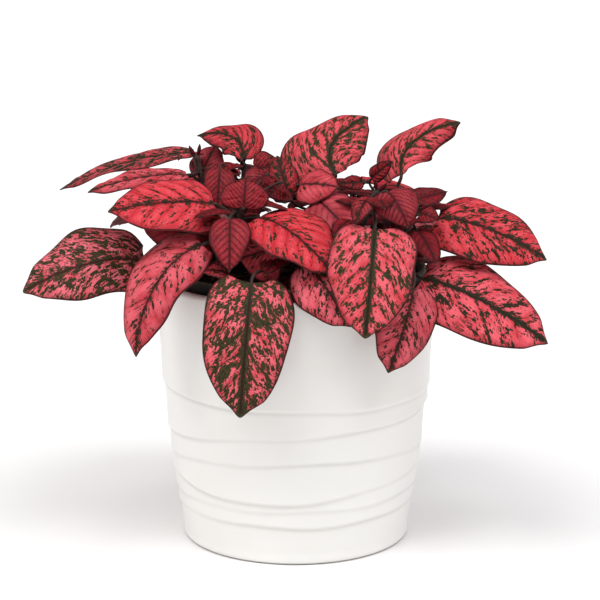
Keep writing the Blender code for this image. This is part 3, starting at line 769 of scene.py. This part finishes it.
def perlite_material():
    """Pale, dusty grains in the potting mix."""
    nodes = Nodes("perlite")
    where = nodes.where()
    dust = nodes.noise(where, 700.0, 3.0, 0.6)
    colour = nodes.mix(nodes.ramp(dust, 0.35, 0.65), (0.62, 0.58, 0.50), (0.40, 0.35, 0.27))
    return nodes.surface(Base_Color=colour, Roughness=0.9, Normal=nodes.bump(dust, 0.0003, 0.6))


# --- The cover pot ---


def pot_outer_radius(height):
    share = height / POT_HEIGHT
    lean = 1.45 * share - 0.45 * share * share
    return POT_FOOT_RADIUS + (POT_RIM_RADIUS - POT_FOOT_RADIUS) * lean


def band_swell(height, turn):
    """How far the pressed bands push the wall out, and how strong the painted shade
    in the crease under each is.

    Each juts out at its lower edge and recedes above it. They lean, wander and
    fade round the pot.
    """
    swell, crease = np.zeros((2, *np.broadcast(height, turn).shape))
    for order, (front, left, right, step, recede) in enumerate(POT_BANDS):
        middle = 0.5 * (left + right)
        lift = (front - middle) * np.maximum(-np.sin(turn), 0.0) ** 2
        wander = 0.7 * np.sin(3 * turn + 1.7 * order) + 0.35 * np.sin(7 * turn + 2.9 * order)
        above = height - (middle + 0.5 * (right - left) * np.cos(turn) + lift + wander)
        strength = 0.80 + 0.25 * np.sin(2 * turn + 2.1 * order) + 0.12 * np.sin(5 * turn + order)
        edge = smooth_step(*BAND_EDGE, above)
        swell += step * strength * edge * np.exp(-np.maximum(above, 0.0) / recede)
        # Strength of the painted shade in the crease under the edge.
        crease += step * strength * np.exp(-(((above + CREASE_SHADE_DROP) / CREASE_SHADE_WIDTH) ** 2))
    return swell - BAND_SETBACK, crease


def build_pot(glaze):
    banded = np.linspace(POT_FOOT_ROUNDING, BANDED_TOP, BANDED_ROWS)
    plain = np.linspace(BANDED_TOP + 1.5, PLAIN_TOP, PLAIN_ROWS)
    lip = POT_WALL / 2
    foot_out = POT_FOOT_RADIUS - POT_FOOT_ROUNDING
    inner_rim = POT_RIM_RADIUS - POT_WALL
    inner_foot = POT_FOOT_RADIUS - POT_WALL
    outline = [(0.0, 0.0), (foot_out * 0.5, 0.0)]
    outline += [
        (foot_out + POT_FOOT_ROUNDING * math.cos(a), POT_FOOT_ROUNDING * (1 + math.sin(a)))
        for a in np.linspace(-math.pi / 2, 0.0, 6)[:-1]
    ]
    first_wall = len(outline)
    outline += [(pot_outer_radius(height), height) for height in (*banded, *plain)]
    last_wall = len(outline)
    outline += [
        (POT_RIM_RADIUS - lip + lip * math.cos(a), POT_HEIGHT - lip + lip * math.sin(a))
        for a in np.linspace(0.0, math.pi, 13)
    ]
    outline += [(inner_rim - 0.6, 112.0), (inner_foot + 1.5, POT_FLOOR + 6.0)]
    outline += [(inner_foot - 4.0, POT_FLOOR), (0.0, POT_FLOOR)]
    outline = np.array(outline)

    turns = np.arange(POT_SIDES) * math.tau / POT_SIDES
    radius = np.repeat(outline[:, :1], POT_SIDES, axis=1)
    height = np.repeat(outline[:, 1:], POT_SIDES, axis=1)
    swell, crease = np.zeros((2, *radius.shape))
    rows = slice(first_wall, last_wall)
    swell[rows], crease[rows] = band_swell(height[rows], turns[None, :])
    swell[rows] *= smooth_step(POT_FOOT_ROUNDING, BANDS_FULL_FROM, height[rows]) * smooth_step(
        PLAIN_TOP, BANDS_FULL_TO, height[rows]
    )
    radius = radius + swell
    points = stacked(radius * np.cos(turns), radius * np.sin(turns), height)
    # The glaze takes the swell and the painted crease shade from here.
    place = stacked(swell, crease, 0.0)

    build = Build()
    rings = len(outline) - 2
    build.add(points[1:-1], grid_faces(rings, POT_SIDES, closed=True), place=place[1:-1])
    build.add([(0, 0, 0), (0, 0, POT_FLOOR)], [])
    close_ends(build, rings, POT_SIDES)
    pot = build.finish("cover_pot", [glaze], sharp_angle=50.0)
    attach(pot, BODY)
    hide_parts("pot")


# --- The potting mix ---


def add_crumb(build, centre, size, rng, slot):
    """A rough lump of eight-sided shape with its corners pushed about."""
    corners = np.array(
        [(1, 0, 0), (-1, 0, 0), (0, 1, 0), (0, -1, 0), (0, 0, 1), (0, 0, -1)], float
    )
    corners += rng.uniform(-0.35, 0.35, corners.shape)
    corners *= size * rng.uniform(0.7, 1.2, 3)
    faces = [(0, 2, 4), (2, 1, 4), (1, 3, 4), (3, 0, 4), (2, 0, 5), (1, 2, 5), (3, 1, 5), (0, 3, 5)]
    build.add(corners + centre, faces, slot)


def build_soil(earth, perlite):
    """A lumpy surface that sinks at its edge, with loose crumbs lying on it."""
    rng = np.random.default_rng(41)
    rings, sides = 64, 160
    radii = np.linspace(0.4, SOIL_RADIUS, rings)
    turns = np.arange(sides) * math.tau / sides
    around = stacked(np.cos(turns), np.sin(turns), 0.0)
    flat = radii[:, None, None] * around
    lumps = 0.9 * ripple(flat, 9.0, 5) + 0.5 * ripple(flat, 3.6, 6, 12)
    edge = smooth_step(SOIL_RADIUS - SOIL_EDGE, SOIL_RADIUS, radii)[:, None]
    top = flat.copy()
    top[..., 2] = SOIL_TOP - 0.9 + lumps * (1.0 - 0.6 * edge) - SOIL_SINK * edge
    skirt = top[-1:].copy()
    skirt[..., 2] = SOIL_TOP - SOIL_DEPTH
    skirt[..., :2] *= 0.985
    bottom = skirt.copy()
    bottom[..., :2] *= 0.01
    points = np.concatenate([top, skirt, bottom])
    build = Build()
    build.add(points, grid_faces(rings + 2, sides, closed=True)[:, ::-1])
    for _ in range(CRUMBS):
        reach = SOIL_RADIUS * math.sqrt(rng.uniform(0.0, 0.97))
        turn = rng.uniform(0.0, math.tau)
        size = rng.uniform(0.5, 1.7)
        sink = SOIL_SINK * smooth_step(SOIL_RADIUS - SOIL_EDGE, SOIL_RADIUS, reach)
        height = SOIL_TOP - 0.7 - sink + rng.uniform(-0.3, 0.5)
        centre = (reach * math.cos(turn), reach * math.sin(turn), height)
        slot = 1 if rng.uniform() < PERLITE_SHARE else 0
        add_crumb(build, centre, size, rng, slot)
    soil = build.finish("soil_surface", [earth, perlite])
    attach(soil, BODY)
    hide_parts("soil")


# --- Shoots ---


def shoot_curve(name):
    (foot_x, foot_y), tip = SHOOTS[name]
    foot = np.array((foot_x, foot_y, SOIL_TOP + SHOOT_GAP))
    tip = np.array(tip, float)
    rise = tip[2] - foot[2]
    lean = unit(tip - foot)
    return foot, foot + np.array((0, 0, 0.4 * rise)), tip - lean * (0.35 * rise), tip


def shoot_radius(share):
    return STEM_FOOT_RADIUS + (STEM_TOP_RADIUS - STEM_FOOT_RADIUS) * share


def build_shoot(name, bark, young):
    """A stem with a swollen node at each joint, folded bud leaves and small inner leaves."""
    shares = np.linspace(0.0, 1.0, 41)
    centres, along = bezier(shoot_curve(name), shares)
    centres[0, 2] -= FOOT_SINK
    radii = shoot_radius(shares)
    for joint, *_ in LEAVES[name].values():
        radii = radii + JOINT_SWELL * np.exp(-(((shares - joint) / JOINT_SPAN) ** 2))
    radii[-1] *= 0.6
    build = Build()
    order = list(SHOOTS).index(name)
    seed = 17.0 * order
    add_tube(build, centres, radii, 14, seed=seed)
    tip, forward = centres[-1], along[-1]
    across = unit(np.cross(forward, (0.2, 1.0, 0.1)))
    look = (INNER_LOOKS.speckle, INNER_LOOKS.green, INNER_LOOKS.depth)
    up = np.linspace(0.0, 1.0, 9)
    fat = 0.95 * np.sin(np.pi * np.clip(up * 0.92 + 0.06, 0, 1)) ** 0.8 + 0.05
    up = up[:, None]
    for sign in (-1.0, 1.0):
        lean = unit(forward * 0.9 + across * sign * 0.35)
        line = tip - forward * 0.8 + across * (0.5 * sign) + lean * (up * BUD_LENGTH)
        line = line + across * (sign * 1.1 * up * (1.0 - up))
        add_tube(build, line, fat, 10, slot=1, seed=seed + 5.0, look=look, edge=(3.0, 0.2, 3.0))
    add_inner_leaves(build, name, order)
    piece = build.finish(f"stem_{name}", [bark, young])
    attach(piece, BODY)
    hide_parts(f"shoot_{name}")


# --- Leaves ---


def leaf_midrib(leaf):
    base, tip, face = (np.array(part, float) for part in (leaf.base, leaf.tip, leaf.face))
    chord = tip - base
    face = unit(face - chord * (face @ chord) / (chord @ chord))
    right = unit(np.cross(chord, face))
    bow = (face * leaf.arch + right * leaf.sweep) * np.linalg.norm(chord)
    return (base, base + chord * 0.25 + bow * 1.1, base + chord * 0.70 + bow * 0.9, tip), face


def leaf_stalk(leaf, midrib):
    joint, shoot_along = (found[0] for found in bezier(shoot_curve(leaf.shoot), leaf.joint))
    blade_base = midrib[0]
    outward = blade_base - joint
    outward = unit(outward - shoot_along * (outward @ shoot_along))
    foot = joint + outward * (shoot_radius(leaf.joint) - 0.3)
    reach = np.linalg.norm(blade_base - foot) / 3
    leaving = outward * 0.8 + shoot_along * 0.6
    arriving = bezier(midrib, 0.0)[1][0]
    return foot, foot + leaving * reach, blade_base - arriving * reach, blade_base


def blade_half_width(share, width, form):
    widest = form.base / (form.base + form.taper)
    rounding = (share / widest) ** form.base
    tapering = np.maximum((1 - share) / (1 - widest), 0.0) ** form.taper
    drawn_in = 1.0 - 0.40 * smooth_step(0.86, 0.98, share)
    return 0.5 * width * rounding * tapering * drawn_in


def side_veins(leaf, reach, run, spacing, seed):
    """How many side veins lie below each point: they slant and curve towards the tip."""
    slant = VEIN_SLANT * np.abs(reach)
    curve = VEIN_CURVE * reach**2 / (0.5 * leaf.width)
    flat = stacked(reach, run, np.sign(reach) * 9.0)
    stray = 0.20 * ripple(flat, 16.0, seed + 11) * smooth_step(0.5, 4.0, np.abs(reach))
    return (run - slant - curve) / spacing + 0.35 + stray


def blade_relief(leaf, looks, share, across, half, reach, veins, rng):
    """Height of the upper face: crease at the midrib, puckers, groove and waved margin."""
    size = np.abs(across)
    crease = half * (leaf.rise * (np.sqrt(size**2 + 0.01) - 0.1) - MARGIN_DROOP * size**2)
    fade = smooth_step(0.3, 2.6, np.abs(reach)) * (1.0 - size**5)
    fade = fade * smooth_step(0.0, 0.08, share) * smooth_step(1.0, 0.88, share)
    from_vein = np.abs(veins - np.round(veins))
    pucker = looks.pucker * fade * (-0.5 * np.cos(veins * math.tau))
    pucker = pucker - looks.pucker * 0.55 * fade * np.exp(-((from_vein / 0.10) ** 2))
    groove = -0.45 * np.exp(-((reach / 0.9) ** 2)) * smooth_step(1.0, 0.5, share)
    cycles = rng.uniform(1.6, 2.6) * math.tau
    start = np.where(across < 0, rng.uniform(0, 6), rng.uniform(0, 6))
    wave = looks.wave * size**3 * np.sin(share * cycles + start)
    wave = wave * smooth_step(0.0, 0.2, share)
    return crease + pucker + groove + wave * np.minimum(half / 10.0, 1.0)


def blade_grid(leaf, looks, seed, trim):
    """Rows of points along the upper face, the way up at each, their values and the midrib."""
    form = LEAF_FORMS[leaf.age]
    midrib, face = leaf_midrib(leaf)
    length = np.linalg.norm(midrib[3] - midrib[0])
    rows = int(np.clip(length * 1.15, 26, 72))
    columns = 2 * int(np.clip(leaf.width * 0.42, 7, 17))
    steps = np.linspace(0.0, 1.0, rows + 1)
    share = 0.45 * steps + 0.55 * (0.5 - 0.5 * np.cos(math.pi * steps))
    across = np.linspace(-1.0, 1.0, columns + 1)[None, :]
    across = 0.75 * across + 0.25 * np.sin(across * math.pi / 2)
    size = np.abs(across)

    middle, _ = bezier(midrib, share)
    curl = smooth_step(0.62, 1.0, share) ** 1.5 * looks.curl * length
    middle = middle + face * curl[:, None]
    forward = unit(np.gradient(middle, share, axis=0))
    steady = min(STEADY_PER_SWEEP * abs(leaf.sweep), STEADY_MOST)
    across_chord = unit(np.cross(midrib[3] - midrib[0], face))
    side = unit(unit(np.cross(forward, face)) * (1.0 - steady) + across_chord * steady)
    up = unit(np.cross(side, forward))[:, None, :]

    rng = np.random.default_rng(seed)
    half = np.maximum(blade_half_width(share, leaf.width, form), 0.2)[:, None]
    share = share[:, None]
    ragged = share * rng.uniform(9, 15) + np.sign(across) * rng.uniform(0.5, 2.5)
    uneven = (1.0 + 0.03 * np.sin(ragged)) * np.where(across < 0.0, trim.left, trim.right)
    reach = half * uneven * across
    lobe = form.lobes * leaf.width * np.clip(1.0 - share / 0.5, 0.0, 1.0)
    lobe = lobe * np.clip(share / 0.02, 0.0, 1.0) * size**2
    lobe = lobe * np.where(across < 0.0, trim.left_lobe, trim.right_lobe)

    spacing = max(length / looks.veins, 2.1)
    run = share * length
    veins = side_veins(leaf, reach, run, spacing, seed)
    height = blade_relief(leaf, looks, share, across, half, reach, veins, rng)
    points = (
        middle[:, None, :]
        + side[:, None, :] * reach[..., None]
        + up * height[..., None]
        - forward[:, None, :] * lobe[..., None]
    )
    sag = 0.55 * ripple(points, 26.0, seed + 3) * size * min(leaf.width / 30.0, 1.0)
    points = points + up * sag[..., None]

    values = {
        "place": stacked(reach, run - lobe, seed * 7.3),
        "pattern": stacked(across, share, veins),
        "edge": stacked(half * uneven * (1.0 - size), looks.pink, spacing),
    }
    return points, np.broadcast_to(up, points.shape), values, midrib


def border_faces(rows, columns):
    """Quads that join the rim of an upper grid to that of the lower one behind it."""
    lower = rows * columns
    faces = []
    for row in range(rows - 1):
        here, after = row * columns, (row + 1) * columns
        faces.append((here, after, lower + after, lower + here))
        here, after = here + columns - 1, after + columns - 1
        faces.append((after, here, lower + here, lower + after))
    last = (rows - 1) * columns
    for column in range(columns - 1):
        faces.append((column + 1, column, lower + column, lower + column + 1))
        here, after = last + column, last + column + 1
        faces.append((here, after, lower + after, lower + here))
    return faces


def add_blade(build, leaf, looks, seed, trim=EVEN_TRIM, blade_slot=0, bark_slot=1):
    """A blade with its two faces, margin and stalk, added to a piece; returns its midrib."""
    points, up, values, midrib = blade_grid(leaf, looks, seed, trim)
    rows, columns = points.shape[:2]
    size = np.abs(values["pattern"][..., :1])
    bulk = MIDDLE_THICKNESS * (1.0 - size**6) * min(leaf.width / THICK_FROM_WIDTH, 1.0)
    lower = points - up * (MARGIN_THICKNESS + bulk)
    look = np.broadcast_to((looks.speckle, looks.green, looks.depth), points.shape)
    under = look * np.array((-1.0, 1.0, 1.0))
    upper_faces = grid_faces(rows, columns)
    lower_faces = upper_faces[:, ::-1] + rows * columns
    faces = np.concatenate([upper_faces, lower_faces, np.array(border_faces(rows, columns))])
    build.add(
        np.concatenate([points, lower]),
        faces,
        blade_slot,
        look=np.concatenate([look, under]),
        **{name: np.concatenate([part, part]) for name, part in values.items()},
    )

    # The stalk runs on under the blade as its rib.
    stalk_line = bezier(leaf_stalk(leaf, midrib), np.linspace(0.0, 0.94, 12))[0]
    picked = np.linspace(1, int(rows * 0.86), 20).astype(int)
    line = np.concatenate([stalk_line, lower[picked, columns // 2]])
    stalk_radius = LEAF_STALK_RADIUS * np.linspace(1.25, 1.0, len(stalk_line))
    rib_radius = LEAF_STALK_RADIUS * np.linspace(0.85, 0.16, len(picked))
    radii = np.concatenate([stalk_radius, rib_radius]) * min(1.0, 0.55 + leaf.width / 60.0)
    add_tube(build, line, radii, 10, slot=bark_slot, seed=seed * 3.1)
    return midrib


def build_leaf(name, leaf, looks, blade, bark, seed):
    build = Build()
    midrib = add_blade(build, leaf, looks, seed, LEAF_TRIMS.get(name, EVEN_TRIM))
    piece = build.finish(f"blade_{name}", [blade, bark], sharp_angle=70.0)
    low, high = (np.array(corner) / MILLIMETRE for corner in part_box(f"leaf_{name}"))
    for point in (midrib[0], midrib[3]):
        if np.any(point < low - FIT_SLACK) or np.any(point > high + FIT_SLACK):
            raise ValueError(f"leaf {name} isn't where its CAD solid is")
    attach(piece, BODY)
    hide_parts(f"leaf_{name}")
    LEAF_SLOTS[leaf.age]


def add_inner_leaves(build, shoot, order):
    """Small leaves close round a shoot, which fill the middle of the plant; their deep
    crimson is painted shade.
    """
    rng = np.random.default_rng(91 + order)
    for step in range(INNER_LEAVES):
        joint = INNER_LOWEST + INNER_SPAN * (step / (INNER_LEAVES - 1))
        centre = bezier(shoot_curve(shoot), joint)[0][0]
        turn = order + INNER_TURN * step + rng.uniform(-0.3, 0.3)
        out = np.array((math.cos(turn), math.sin(turn), 0.0))
        base = centre + out * INNER_STALK[0] + (0.0, 0.0, INNER_STALK[1])
        tip = base + out * rng.uniform(*INNER_LENGTHS) + (0.0, 0.0, rng.uniform(-6.0, 0.0))
        face = (0.4 * out[0], 0.4 * out[1], 1.0)
        width = rng.uniform(*INNER_WIDTHS)
        leaf = Leaf(shoot, joint, base, tip, width, face, 0.15, 0.3, YOUNG, 0.0)
        add_blade(build, leaf, INNER_LOOKS, 200 + 10 * order + step, blade_slot=1, bark_slot=0)


# --- Stage, light and camera ---


def build_stage():
    nodes = Nodes("studio_floor")
    where = nodes.where()
    soft = nodes.ramp(nodes.noise(where, 3.0, 2.0, 0.5), 0.3, 0.7)
    colour = nodes.mix(soft, (0.945, 0.940, 0.942), (0.935, 0.930, 0.932))
    paper = nodes.surface(Base_Color=colour, Roughness=0.9, Specular_IOR_Level=0.1)
    build = Build()
    corners = [(-FLOOR, -FLOOR, 0), (FLOOR, -FLOOR, 0), (FLOOR, FLOOR, 0), (-FLOOR, FLOOR, 0)]
    build.add(corners, [(0, 1, 2, 3)])
    floor = build.finish("studio_floor", [paper])


def build_light():
    nodes = Nodes("studio_air", "worlds")
    sideways = nodes.split(nodes.where("Generated"))[0]
    squared = nodes.times(sideways, sideways)
    strength = nodes.math("MULTIPLY_ADD", squared, AIR_SIDES - AIR_FRONT, AIR_FRONT)
    air = nodes.tree.nodes["Background"]
    nodes.link(AIR_COLOUR, air.inputs["Color"])
    nodes.link(strength, air.inputs["Strength"])
    bpy.context.scene.world = nodes.owner
    for name, power, width, tilt, turn, colour in SUNS:
        light = bpy.data.lights.new(name, "SUN")
        light.energy = power
        light.angle = math.radians(width)
        light.color = colour
        lamp = new_object(name, light)
        lamp.rotation_euler = (math.radians(tilt), 0.0, math.radians(turn))
    bpy.context.scene.view_settings.view_transform = "Standard"


def build_camera():
    lens = bpy.data.cameras.new("camera")
    lens.sensor_width = 36.0
    lens.lens = CAMERA_LENS
    camera = new_object("camera", lens)
    camera.location = CAMERA_PLACE
    camera.rotation_euler = (math.radians(90.0 - CAMERA_TILT), 0.0, 0.0)
    bpy.context.scene.camera = camera


def main():
    bark = stem_material()
    blades = {
        age: leaf_blade_material(LEAF_SLOTS[age], finish) for age, finish in LEAF_FINISHES.items()
    }
    build_pot(glaze_material())
    build_soil(soil_material(), perlite_material())
    nursery_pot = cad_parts["nursery_pot"]
    nursery_pot.data.materials.clear()
    nursery_pot.data.materials.append(plastic_material())
    for name in SHOOTS:
        build_shoot(name, bark, blades[YOUNG])
    seed = 1
    for shoot, leaves in LEAVES.items():
        for name, row in leaves.items():
            leaf = Leaf(shoot, *row, LEAF_SWEEPS.get(name, 0.0))
            curl = LEAF_CURLS.get(name, 0.0)
            looks = Looks(*LEAF_LOOKS[name], *AGE_LOOKS[leaf.age], curl)
            build_leaf(name, leaf, looks, blades[leaf.age], bark, seed)
            seed += 1
    build_stage()
    build_light()
    build_camera()


main()
